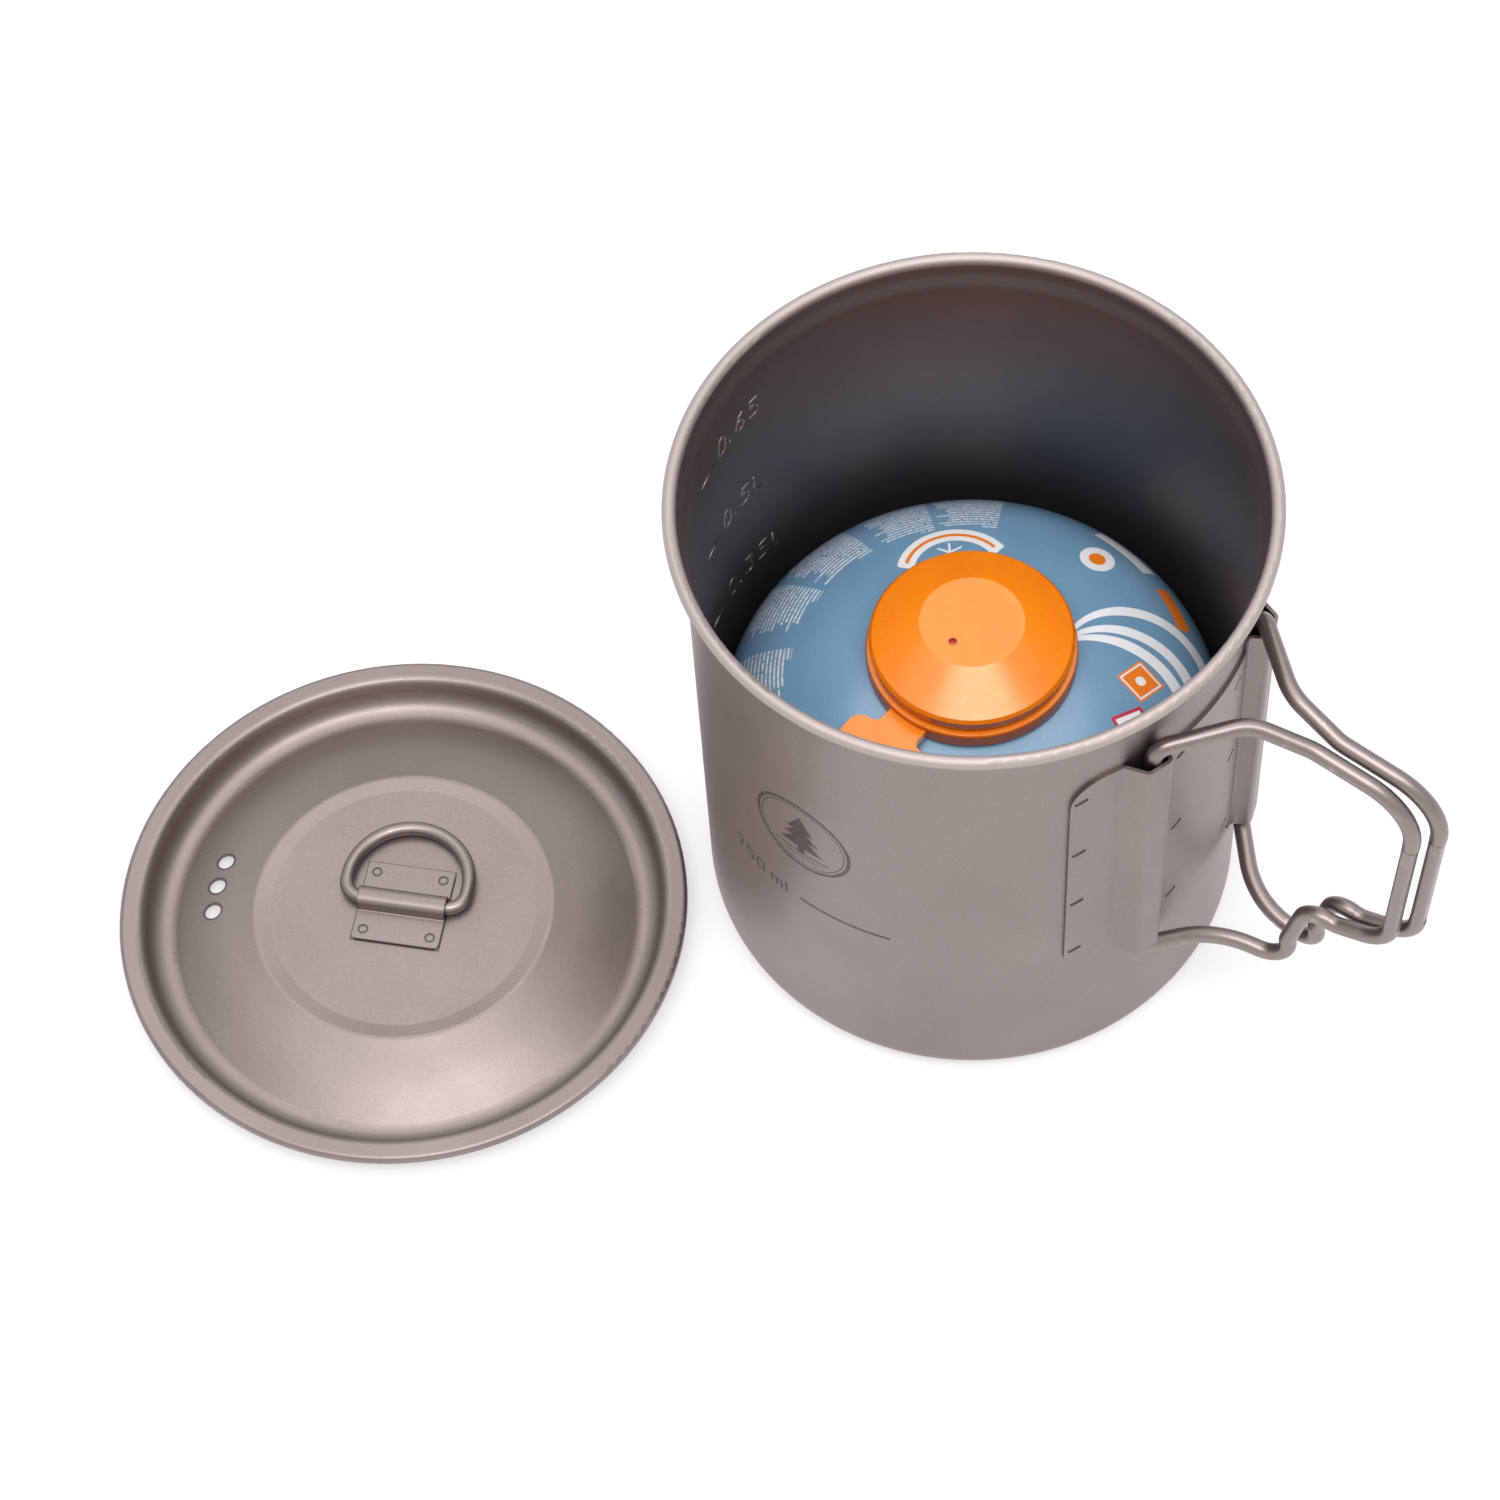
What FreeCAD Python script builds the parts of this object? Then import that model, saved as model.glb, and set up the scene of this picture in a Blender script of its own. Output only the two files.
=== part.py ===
import FreeCAD, Part
import math
import os

# Stored cook set of a canister stove, in millimetres: a one-person titanium pot with two
# folding wire handles, its lid lying beside it, and a capped gas canister standing inside.
# The origin is the centre of the pot's base, +Z runs up the pot, and the lid is on the -X side.

os.makedirs("parts", exist_ok=True)

V = FreeCAD.Vector
Z_AXIS = V(0, 0, 1)

# --- pot ---
POT_R = 47.6            # outside of the straight wall (95 mm pot)
POT_H = 110.6           # top of the rolled rim
POT_SHEET = 0.5
POT_CORNER_R = 5.0      # outside radius between floor and wall
RIM_R = 50.7            # outside of the rolled rim
BEAD_R = 1.15           # half thickness of the rolled rim

# --- handle bracket and its two vertical channels ---
HANDLE_AZ = -39.3       # direction in which the handles stick out
CHANNEL_OFFSET = 18.6   # each channel's angle from that direction
BRACKET_SHEET = 0.6
BRACKET_EDGE = 35.6     # angle of the plate's outer edges from the handle direction
BRACKET_Z0, BRACKET_Z1 = 34.8, 94.8
WEB_Z0, WEB_Z1 = 38.0, 92.0     # the plate is lower between the channels
WELD_L, WELD_W, WELD_DEPTH = 2.6, 1.1, 0.2

# --- wire handles ---
WIRE_R = 1.5
HINGE_R = POT_R + 0.15 + WIRE_R     # distance of each hinge line from the pot's axis
HANDLE_SWING = 5.8      # both handles rest swung this far to the rear
GRIP_THICK, GRIP_WIDE = 2.5, 3.1    # pressed part of the grip
PAIR_Y = 1.78           # centre line of each grip from the plane between the two handles
ARM_TOP_Z, ARM_LOW_Z = 97.7, 32.4   # arms where they leave the channels

# --- lid, resting on the table beside the pot ---
LID_X, LID_Y = -104.0, -10.2
LID_R = 51.75
LID_SHEET = 0.5
DISC_Z = 5.2            # top of the flat middle of the lid
FLANGE_Z = 6.5          # top of the flat flange
STEAM_HOLE_R = 1.5
STEAM_HOLE_PITCH_R = 35.2
STEAM_HOLE_AZ = (159.0, 167.6, 176.2)

# --- lid ring and its strap ---
RING_AZ = -12.6
RING_WIRE_R = 1.25
RING_HALF_W = 11.15     # centre line
RING_REACH = 15.6       # centre line, from the hinge to the top of the D
RING_Z = DISC_Z + RING_WIRE_R + 0.15
STRAP_SHEET = 0.5
STRAP_W, STRAP_HALF_L = 16.3, 8.1

# --- gas canister ---
CAN_R = 44.0
CAN_SHEET = 0.5
CAN_Z0 = POT_SHEET      # the canister stands on the pot's floor
COLLAR_R = 5.55         # 7/16-28 screw collar
COLLAR_Z0, COLLAR_Z1 = 60.45, 69.25
CUP_SHEET = 0.5

# --- canister cap ---
CAP_R = 17.65
CAP_TOP_R = 9.0
CAP_BAND_R = 18.2
CAP_Z0, CAP_Z1 = 62.7, 73.5
TAB_AZ = 228.5
TAB_REACH = 28.0


def sheet_band(points, thickness):
    """Face of a bent sheet: points are (x, y, bend radius) along its centre line."""
    centre = []
    for i, point in enumerate(points):
        here = V(point[0], point[1], 0)
        if i in (0, len(points) - 1):
            centre.append((here, None, None, None))
            continue
        before = V(points[i - 1][0], points[i - 1][1], 0)
        after = V(points[i + 1][0], points[i + 1][1], 0)
        d_in = (here - before).normalize()
        d_out = (after - here).normalize()
        turn = d_in.getAngle(d_out)
        reach = point[2] * math.tan(turn / 2)
        side = 1 if d_in.cross(d_out).z > 0 else -1
        start = here - d_in * reach
        hub = start + V(-d_in.y, d_in.x, 0) * (side * point[2])
        centre.append((start, here + d_out * reach, hub, side))

    def outline(offset):
        """Edges of the line that runs at this offset to the left of the centre line."""
        edges = []
        at = None
        for i, (start, end, hub, side) in enumerate(centre):
            if hub is None:
                other = centre[1][0] if i == 0 else (centre[-2][1] or centre[-2][0])
                run = (other - start) if i == 0 else (start - other)
                run.normalize()
                spot = start + V(-run.y, run.x, 0) * offset
                if at is not None and at.distanceToPoint(spot) > 1e-6:
                    edges.append(Part.LineSegment(at, spot).toShape())
                at = spot
                continue
            radius = (start - hub).Length
            scale = (radius - side * offset) / radius
            first = hub + (start - hub) * scale
            last = hub + (end - hub) * scale
            middle = hub + ((first - hub) + (last - hub)).normalize() * (radius * scale)
            if at.distanceToPoint(first) > 1e-6:
                edges.append(Part.LineSegment(at, first).toShape())
            edges.append(Part.Arc(first, middle, last).toShape())
            at = last
        return edges, at

    left, left_end = outline(thickness / 2)
    right, right_end = outline(-thickness / 2)
    left_start = left[0].Vertexes[0].Point
    right_start = right[0].Vertexes[0].Point
    caps = [
        Part.LineSegment(left_start, right_start).toShape(),
        Part.LineSegment(left_end, right_end).toShape(),
    ]
    wire = Part.Wire(Part.__sortEdges__(left + right + caps))
    return Part.Face(wire)


def spin(face, x=0.0, y=0.0):
    """Turn a face drawn in (radius, height) once round the vertical axis through (x, y)."""
    upright = face.copy()
    upright.rotate(V(0, 0, 0), V(1, 0, 0), 90)
    solid = upright.revolve(V(0, 0, 0), Z_AXIS, 360)
    solid.translate(V(x, y, 0))
    return solid


def spun_sheet(points, thickness, x=0.0, y=0.0):
    return spin(sheet_band(points, thickness), x, y)


def polygon_face(points):
    """Closed face from (x, y) corners."""
    corners = [V(p[0], p[1], 0) for p in points]
    return Part.Face(Part.makePolygon(corners + corners[:1]))


def ring(inner, outer, z0, z1):
    """Plain tube on the pot's axis."""
    tube = Part.makeCylinder(outer, z1 - z0, V(0, 0, z0))
    return tube.cut(Part.makeCylinder(inner, z1 - z0 + 2, V(0, 0, z0 - 1)))


def polar(radius, degrees, z=0.0):
    angle = math.radians(degrees)
    return V(radius * math.cos(angle), radius * math.sin(angle), z)


def rounded_path(points):
    """Wire of straight runs and arcs through (x, y, z, bend radius) corners."""
    edges = []
    at = V(*points[0][:3])
    for i in range(1, len(points) - 1):
        here = V(*points[i][:3])
        back = (at - here).normalize()
        ahead = (V(*points[i + 1][:3]) - here).normalize()
        half = back.getAngle(ahead) / 2
        radius = points[i][3]
        reach = radius / math.tan(half)
        middle_dir = (back + ahead).normalize()
        first = here + back * reach
        last = here + ahead * reach
        middle = here + middle_dir * (radius / math.sin(half) - radius)
        edges.append(Part.LineSegment(at, first).toShape())
        edges.append(Part.Arc(first, middle, last).toShape())
        at = last
    edges.append(Part.LineSegment(at, V(*points[-1][:3])).toShape())
    return Part.Wire(edges)


def round_wire(path, radius):
    """Solid round wire along a path."""
    first = path.Edges[0]
    start = first.valueAt(first.FirstParameter)
    tangent = first.tangentAt(first.FirstParameter)
    section = Part.Wire(Part.makeCircle(radius, start, tangent))
    return path.makePipeShell([section], True, False, 2)


def save(shape, name):
    clean = shape.removeSplitter()
    solids = clean.Solids
    result = solids[0] if len(solids) == 1 else Part.makeCompound(solids)
    result.exportStep("parts/" + name + ".step")
    print(name, "solids", len(solids), "valid", result.isValid(), "volume", round(result.Volume, 1))


# ---------------------------------------------------------------- pot

def pot_shell():
    """Drawn pot: flat floor, straight wall, short flare and a rolled outward rim."""
    half = POT_SHEET / 2
    wall = POT_R - half
    curl = BEAD_R - half                    # centre-line radius of the rolled rim
    bead_x = RIM_R - BEAD_R
    bead_z = POT_H - BEAD_R
    neck = bead_x - curl
    points = [
        (0, half, 0),
        (wall, half, POT_CORNER_R - half),
        (wall, POT_H - 6.6, 5.0),
        (neck, POT_H - 3.2, 4.0),
        (neck, bead_z + curl, curl),
        (bead_x + curl, bead_z + curl, curl),
        (bead_x + curl, bead_z - curl, curl),
        (bead_x - 0.1, bead_z - curl, 0),
    ]
    return spun_sheet(points, POT_SHEET)


def channel_face(side):
    """Cross-section of one raised channel, on the given side of the handle direction."""
    half = BRACKET_SHEET / 2
    seat = POT_R + half + 0.01              # the feet are straight, so they clear the round wall
    crest = HINGE_R + WIRE_R + 0.15 + half
    crest_half_w = 2.2
    outer_foot, outer_end = -5.8, -7.5      # sloping side, away from the other channel
    inner_foot, inner_end = 3.6, 5.2        # steep side
    corners = [
        (polar(seat, outer_end), 0),
        (polar(seat, outer_foot), 1.0),
        (V(crest, -crest_half_w, 0), 0.9),
        (V(crest, crest_half_w, 0), 0.9),
        (polar(seat, inner_foot), 1.0),
        (polar(seat, inner_end), 0),
    ]
    face = sheet_band([(p.x, p.y, r) for p, r in corners], BRACKET_SHEET)
    if side > 0:
        face = face.mirror(V(0, 0, 0), V(0, 1, 0))
    face.rotate(V(0, 0, 0), Z_AXIS, side * CHANNEL_OFFSET)
    return face


def curved_plate(az0, az1, z0, z1):
    """Piece of sheet that lies on the pot's wall between two angles from the handle direction."""
    height = z1 - z0
    outer = Part.makeCylinder(POT_R + BRACKET_SHEET, height, V(0, 0, z0), Z_AXIS, az1 - az0)
    inner = Part.makeCylinder(POT_R, height, V(0, 0, z0), Z_AXIS, az1 - az0)
    plate = outer.cut(inner)
    plate.rotate(V(0, 0, 0), Z_AXIS, az0)
    return plate


def round_plate_corners(plate, az, top_r, low_r, z0, z1):
    """Round the two free corners of a curved plate, at its edge at this angle."""
    middle = polar(POT_R + BRACKET_SHEET / 2, az)
    for z, radius in ((z1, top_r), (z0, low_r)):
        corner = V(middle.x, middle.y, z)
        edge = min(plate.Edges, key=lambda e: e.CenterOfMass.distanceToPoint(corner))
        plate = plate.makeFillet(radius, [edge])
    return plate


def weld_mark(az, z):
    """Small slanted oval dimple, cut into the outside of the plate."""
    depth = 3.0
    bar = Part.makeBox(depth, WELD_L - WELD_W, WELD_W, V(0, -(WELD_L - WELD_W) / 2, -WELD_W / 2))
    for end in (-1, 1):
        centre = V(0, end * (WELD_L - WELD_W) / 2, 0)
        bar = bar.fuse(Part.makeCylinder(WELD_W / 2, depth, centre, V(1, 0, 0)))
    bar.rotate(V(0, 0, 0), V(1, 0, 0), 25)
    bar.translate(V(POT_R + BRACKET_SHEET - WELD_DEPTH, 0, z))
    bar.rotate(V(0, 0, 0), Z_AXIS, az)
    return bar


def handle_bracket():
    """One sheet plate, spot-welded to the wall, with a raised channel for each handle."""
    height = BRACKET_Z1 - BRACKET_Z0
    inner_foot = CHANNEL_OFFSET - 4.2
    outer_foot = CHANNEL_OFFSET + 6.6
    plate = curved_plate(-inner_foot, inner_foot, WEB_Z0, WEB_Z1)
    for side in (-1, 1):
        az0, az1 = sorted((side * outer_foot, side * BRACKET_EDGE))
        flange = curved_plate(az0, az1, BRACKET_Z0, BRACKET_Z1)
        flange = round_plate_corners(flange, side * BRACKET_EDGE, 7.0, 3.5, BRACKET_Z0, BRACKET_Z1)
        channel = channel_face(side).extrude(V(0, 0, height))
        channel.translate(V(0, 0, BRACKET_Z0))
        plate = plate.fuse([flange, channel])
    middle_z = (BRACKET_Z0 + BRACKET_Z1) / 2
    marks = []
    for side in (-1, 1):
        marks += [weld_mark(side * 33.4, middle_z + dz) for dz in (-24.6, -8.2, 8.2, 24.6)]
        marks += [weld_mark(side * 9.8, middle_z + dz) for dz in (-23.6, -0.6, 22.4)]
    for mark in marks:
        plate = plate.cut(mark)
    plate.rotate(V(0, 0, 0), Z_AXIS, HANDLE_AZ)
    return plate


# ---------------------------------------------------------------- wire handles

def handle_wire(side):
    """One bent handle: up the channel, out, down the pressed grip, back over a finger step."""
    hinge_x = HINGE_R * math.cos(math.radians(CHANNEL_OFFSET))
    hinge_y = HINGE_R * math.sin(math.radians(CHANNEL_OFFSET))
    grip_top = (87.3, PAIR_Y, 90.2, 11.5)
    grip_low = (85.9, PAIR_Y, 47.1, 6.6)
    points = [
        (hinge_x, hinge_y, 82.0, 0),
        (hinge_x, hinge_y, ARM_TOP_Z, 2.7),
        (57.8, 4.2, 97.8, 9.0),
        (68.1, PAIR_Y, 94.7, 9.0),
        grip_top,
        grip_low,
        (76.0, PAIR_Y, 44.2, 4.1),
        (71.0, 2.0, 45.8, 3.4),
        (68.2, 2.3, 32.9, 2.9),
        (69.7, 2.5, 26.0, 4.3),
        (55.5, 4.4, 28.1, 17.0),
        (hinge_x, hinge_y, ARM_LOW_Z, 2.2),
        (hinge_x, hinge_y, 48.0, 0),
    ]
    wire = round_wire(rounded_path(points), WIRE_R)

    # the grip's straight run is pressed wider and thinner
    top = V(*grip_top[:3])
    low = V(*grip_low[:3])
    run = (low - top).normalize()
    start = top + run * 10.2
    length = (low - top).Length - 15.8
    grip = Part.makeBox(GRIP_THICK, GRIP_WIDE, length, V(-GRIP_THICK / 2, -GRIP_WIDE / 2, 0))
    upright = [e for e in grip.Edges if abs(e.tangentAt(e.FirstParameter).z) > 0.99]
    grip = grip.makeFillet(0.8, upright)
    grip = grip.makeChamfer(0.3, [e for e in grip.Edges if abs(e.BoundBox.ZLength) < 1e-6])
    slab = Part.makeBox(GRIP_THICK, 2 * GRIP_WIDE, length, V(-GRIP_THICK / 2, -GRIP_WIDE, 0))
    around = Part.makeBox(6, 2 * GRIP_WIDE, length, V(-3, -GRIP_WIDE, 0))
    for piece in (grip, slab, around):
        piece.Placement = FreeCAD.Placement(start, FreeCAD.Rotation(Z_AXIS, run))
    wire = wire.cut(around.cut(slab)).fuse(grip)

    if side < 0:
        wire = wire.mirror(V(0, 0, 0), V(0, 1, 0))
    wire.rotate(V(hinge_x, side * hinge_y, 0), Z_AXIS, HANDLE_SWING)
    wire.rotate(V(0, 0, 0), Z_AXIS, HANDLE_AZ)
    return wire


# ---------------------------------------------------------------- lid

def lid_shell():
    """Pressed lid: turned-down edge, flange, steep wall, groove, dish and raised flat middle."""
    half = LID_SHEET / 2
    points = [
        (0, DISC_Z - half, 0),
        (24.4, DISC_Z - half, 1.0),
        (27.2, DISC_Z + 0.35 - half, 1.5),
        (35.0, 3.19, 60.0),
        (46.46, -1.205, 3.95),
        (47.77, FLANGE_Z - half, 1.25),
        (LID_R - half, FLANGE_Z - half, 0.6),
        (LID_R - half, FLANGE_Z - 1.5, 0),
    ]
    lid = spun_sheet(points, LID_SHEET, LID_X, LID_Y)
    for az in STEAM_HOLE_AZ:
        spot = polar(STEAM_HOLE_PITCH_R, az, -1) + V(LID_X, LID_Y, 0)
        lid = lid.cut(Part.makeCylinder(STEAM_HOLE_R, 8, spot))
    return lid


def place_on_lid(shape):
    """Move a shape drawn about the ring's hinge to its place on the lid."""
    shape.rotate(V(0, 0, 0), Z_AXIS, RING_AZ)
    shape.translate(V(LID_X, LID_Y, 0))
    return shape


def lid_ring_strap():
    """Spot-welded strap with a raised barrel over the ring's straight side."""
    half = STRAP_SHEET / 2
    crest = RING_Z + RING_WIRE_R + 0.12 + half
    seat = DISC_Z + half
    barrel_half = RING_WIRE_R + 0.12 + half
    points = [
        (-STRAP_HALF_L, seat, 0),
        (-barrel_half - 0.25, seat, 0.5),
        (-barrel_half, crest, 1.3),
        (barrel_half, crest, 1.3),
        (barrel_half + 0.25, seat, 0.5),
        (STRAP_HALF_L, seat, 0),
    ]
    face = sheet_band(points, STRAP_SHEET)
    face.rotate(V(0, 0, 0), V(1, 0, 0), 90)
    face.rotate(V(0, 0, 0), Z_AXIS, 90)
    face.translate(V(-STRAP_W / 2, 0, 0))
    strap = face.extrude(V(STRAP_W, 0, 0))
    corners = []
    for edge in strap.Edges:
        middle = edge.CenterOfMass
        if abs(abs(middle.x) - STRAP_W / 2) < 0.01 and abs(abs(middle.y) - STRAP_HALF_L) < 0.01:
            if edge.BoundBox.ZLength > 0.9 * STRAP_SHEET:
                corners.append(edge)
    strap = strap.makeFillet(1.2, corners)
    for x in (-6.2, 6.2):
        for y in (-6.0, 6.0):
            mark = Part.makeCylinder(1.0, 2, V(x, y, DISC_Z + STRAP_SHEET - 0.15))
            core = Part.makeCylinder(0.55, 2, V(x, y, DISC_Z + STRAP_SHEET - 0.2))
            strap = strap.cut(mark.cut(core))
    return place_on_lid(strap)


def lid_ring():
    """D-shaped wire ring, lying flat on the lid; its two ends butt inside the barrel."""
    corner_r = 3.4
    arc_y = RING_REACH - RING_HALF_W
    gap = 0.4
    left, right = V(-RING_HALF_W, arc_y, RING_Z), V(RING_HALF_W, arc_y, RING_Z)
    top = V(0, RING_REACH, RING_Z)
    k = corner_r * (1 - math.sqrt(0.5))
    edges = [
        Part.LineSegment(V(gap, 0, RING_Z), V(RING_HALF_W - corner_r, 0, RING_Z)).toShape(),
        Part.Arc(
            V(RING_HALF_W - corner_r, 0, RING_Z),
            V(RING_HALF_W - k, k, RING_Z),
            V(RING_HALF_W, corner_r, RING_Z),
        ).toShape(),
        Part.LineSegment(V(RING_HALF_W, corner_r, RING_Z), right).toShape(),
        Part.Arc(right, top, left).toShape(),
        Part.LineSegment(left, V(-RING_HALF_W, corner_r, RING_Z)).toShape(),
        Part.Arc(
            V(-RING_HALF_W, corner_r, RING_Z),
            V(-RING_HALF_W + k, k, RING_Z),
            V(-RING_HALF_W + corner_r, 0, RING_Z),
        ).toShape(),
        Part.LineSegment(V(-RING_HALF_W + corner_r, 0, RING_Z), V(-gap, 0, RING_Z)).toShape(),
    ]
    return place_on_lid(round_wire(Part.Wire(edges), RING_WIRE_R))


# ---------------------------------------------------------------- gas canister

def canister_body():
    """Drawn steel can: side wall, round shoulder, shallow dome and a turned-in mouth."""
    half = CAN_SHEET / 2
    wall = CAN_R - half
    points = [
        (42.05, CAN_Z0 + 0.9, 0),
        (42.05, CAN_Z0 + 3.4, 1.5),
        (wall, CAN_Z0 + 6.2, 3.0),
        (wall, 51.6, 17.7),
        (25.1, 60.3, 79.0),
        (14.85, 62.4, 0.6),
        (14.85, 65.0, 0.5),
        (13.2, 65.0, 0),
    ]
    return spun_sheet(points, CAN_SHEET)


def canister_base():
    """Concave end, folded round the body's lower edge; the can stands on this seam."""
    foot = CAN_Z0 + CAN_SHEET / 2
    points = [
        (0, 11.0, 0),
        (10.0, 11.0, 40.0),
        (38.2, 5.6, 3.0),
        (41.1, 7.0, 0.7),
        (41.1, foot, 0.6),
        (42.9, foot, 0.6),
        (42.9, CAN_Z0 + 2.9, 0),
    ]
    return spun_sheet(points, CAN_SHEET)


def valve_cup():
    """Mounting cup of the valve: rim hooked over the mouth, recess and hollow screw collar."""
    half = CUP_SHEET / 2
    collar = COLLAR_R - half
    floor = COLLAR_Z0 - half
    points = [
        (15.6, 63.4, 0),
        (15.6, 65.9, 0.5),
        (12.4, 65.9, 0.5),
        (12.4, floor, 0.8),
        (collar, floor, 0.8),
        (collar, COLLAR_Z1 - half, 0.5),
        (2.1, COLLAR_Z1 - half, 0),
    ]
    return spun_sheet(points, CUP_SHEET)


def cup_gasket():
    """Flat seal between the can's mouth and the cup's rim."""
    return ring(13.3, 14.7, 65.25, 65.65)


def stem_gasket():
    """Valve seat washer under the collar's top; the stem's head seals against it."""
    return ring(1.75, 4.6, 67.45, 68.75)


def valve_housing():
    """Plastic cup clamped inside the collar, with a small inlet hole at the bottom."""
    outer = Part.makeCylinder(5.0, 11.0, V(0, 0, 56.4))
    bore = Part.makeCylinder(3.6, 10.0, V(0, 0, 57.9))
    inlet = Part.makeCylinder(0.8, 4.0, V(0, 0, 55.0))
    return outer.cut(bore).cut(inlet)


def valve_stem():
    """Sliding valve stem: tip in the seat washer, head below it, guide rod inside the spring."""
    tip = Part.makeCylinder(1.5, 0.6, V(0, 0, 67.4))
    head = Part.makeCylinder(2.9, 1.2, V(0, 0, 66.2))
    rod = Part.makeCylinder(1.3, 5.8, V(0, 0, 60.4))
    return tip.fuse([head, rod])


def valve_spring():
    """Coil spring that pushes the stem up against its seat."""
    wire_r = 0.28
    coil_r = 2.3
    z0, z1 = 57.9 + wire_r, 66.2 - wire_r
    turns = 5.5
    helix = Part.makeHelix((z1 - z0) / turns, z1 - z0, coil_r)
    helix.translate(V(0, 0, z0))
    section = Part.Wire(Part.makeCircle(wire_r, V(coil_r, 0, z0), V(0, 1, 0)))
    return Part.Wire(helix).makePipeShell([section], True, True)


# ---------------------------------------------------------------- cap

def cap_profile():
    """Half section of the cap: flat top, cone, rounded shoulder, groove and lower band."""
    wall = 1.3
    inner_r = 16.1
    outline = [
        (0, CAP_Z1),
        (CAP_TOP_R, CAP_Z1),
        (CAP_R - 0.5, 69.4),
        (CAP_R, 68.8),
        (CAP_R - 0.25, 66.7),
        (CAP_R - 0.8, 66.4),
        (CAP_R - 0.8, 65.9),
        (CAP_BAND_R - 0.2, 65.7),
        (CAP_BAND_R, 65.4),
        (CAP_BAND_R, CAP_Z0),
        (inner_r, CAP_Z0),
        (inner_r, 68.2),
        (CAP_TOP_R - 0.4, CAP_Z1 - wall),
        (0, CAP_Z1 - wall),
    ]
    return polygon_face(outline)


def cap_tab():
    """Flat pull tab on the band: narrow neck and wide round-cornered head."""
    z0, z1 = CAP_Z0 + 0.2, CAP_Z0 + 2.0
    head_w, head_l = 16.0, 6.6
    neck_w = 7.6
    start = CAP_BAND_R - 1.4
    head_x = TAB_REACH - head_l
    head = Part.makeBox(head_l, head_w, z1 - z0, V(head_x, -head_w / 2, z0))
    neck = Part.makeBox(head_x - start + 1, neck_w, z1 - z0, V(start, -neck_w / 2, z0))
    tab = head.fuse(neck).removeSplitter()

    def upright_edges(shape, test):
        edges = [e for e in shape.Edges if e.BoundBox.ZLength > 0.9 * (z1 - z0)]
        return [e for e in edges if test(e.CenterOfMass)]

    tab = tab.makeFillet(2.4, upright_edges(tab, lambda p: abs(p.y) > head_w / 2 - 0.01))
    inner = upright_edges(tab, lambda p: abs(abs(p.y) - neck_w / 2) < 0.01 and abs(p.x - head_x) < 0.01)
    tab = tab.makeFillet(1.5, inner)
    tab.rotate(V(0, 0, 0), Z_AXIS, TAB_AZ)
    return tab


def valve_cap():
    """Push-on plastic cap over the valve, moulded in one piece with its pull tab."""
    cap = spin(cap_profile())
    edges = []
    for edge in cap.Edges:
        box = edge.BoundBox
        flat = box.ZLength < 1e-6
        rounded = (abs(box.XMax - CAP_TOP_R) < 0.01, abs(box.XMax - CAP_BAND_R) < 0.01)
        if flat and any(rounded) and box.ZMin > CAP_Z0 - 0.01:
            edges.append(edge)
    cap = cap.makeFillet(0.25, edges)
    cap = cap.fuse(cap_tab())
    gate = polar(5.1, TAB_AZ - 2.0, CAP_Z1 - 0.6)
    return cap.cut(Part.makeCylinder(0.65, 2, gate))


PIECES = {
    "pot_shell": pot_shell,
    "handle_bracket": handle_bracket,
    "front_handle_wire": lambda: handle_wire(-1),
    "rear_handle_wire": lambda: handle_wire(1),
    "lid_shell": lid_shell,
    "lid_ring_strap": lid_ring_strap,
    "lid_ring": lid_ring,
    "canister_body": canister_body,
    "canister_base": canister_base,
    "valve_cup": valve_cup,
    "cup_gasket": cup_gasket,
    "stem_gasket": stem_gasket,
    "valve_housing": valve_housing,
    "valve_stem": valve_stem,
    "valve_spring": valve_spring,
    "valve_cap": valve_cap,
}

for piece_name, build_piece in PIECES.items():
    save(build_piece(), piece_name)
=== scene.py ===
import math

import bpy
import numpy as np
from mathutils import Matrix, Vector


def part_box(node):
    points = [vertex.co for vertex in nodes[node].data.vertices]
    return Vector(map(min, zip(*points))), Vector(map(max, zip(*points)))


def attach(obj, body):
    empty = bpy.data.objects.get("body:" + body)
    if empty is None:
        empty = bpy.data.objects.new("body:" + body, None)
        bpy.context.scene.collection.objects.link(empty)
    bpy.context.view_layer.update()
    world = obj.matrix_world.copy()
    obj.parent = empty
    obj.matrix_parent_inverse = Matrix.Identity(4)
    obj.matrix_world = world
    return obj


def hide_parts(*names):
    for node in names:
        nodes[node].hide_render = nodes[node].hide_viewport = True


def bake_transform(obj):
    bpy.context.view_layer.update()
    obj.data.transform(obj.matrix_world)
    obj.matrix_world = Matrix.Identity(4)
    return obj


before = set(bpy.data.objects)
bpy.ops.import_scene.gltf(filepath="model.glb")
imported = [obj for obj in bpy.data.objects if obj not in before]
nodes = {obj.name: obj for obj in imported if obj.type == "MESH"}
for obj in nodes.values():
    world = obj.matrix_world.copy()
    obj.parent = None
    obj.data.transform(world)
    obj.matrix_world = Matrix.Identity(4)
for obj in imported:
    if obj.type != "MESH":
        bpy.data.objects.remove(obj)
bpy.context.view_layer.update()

MM = 0.001

# Sizes and places are in millimetres, angles in degrees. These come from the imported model.
POT_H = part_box("pot_shell")[1].z / MM
lid_low, lid_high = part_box("lid_shell")
LID = ((lid_low + lid_high) / 2) / MM

# The pot's straight wall
POT_WALL_R = 47.6
POT_INSIDE_R = 47.1


# ---------------------------------------------------------------- camera

CAMERA_PLACE = (-30.58, -402.63, 699.10)
CAMERA_PAN = -1.227         # from +Y towards +X
CAMERA_TILT = 58.731        # below the horizon
CAMERA_ROLL = 4.400
SENSOR_WIDTH = 36
FOCAL_LENGTH = 105.23


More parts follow.
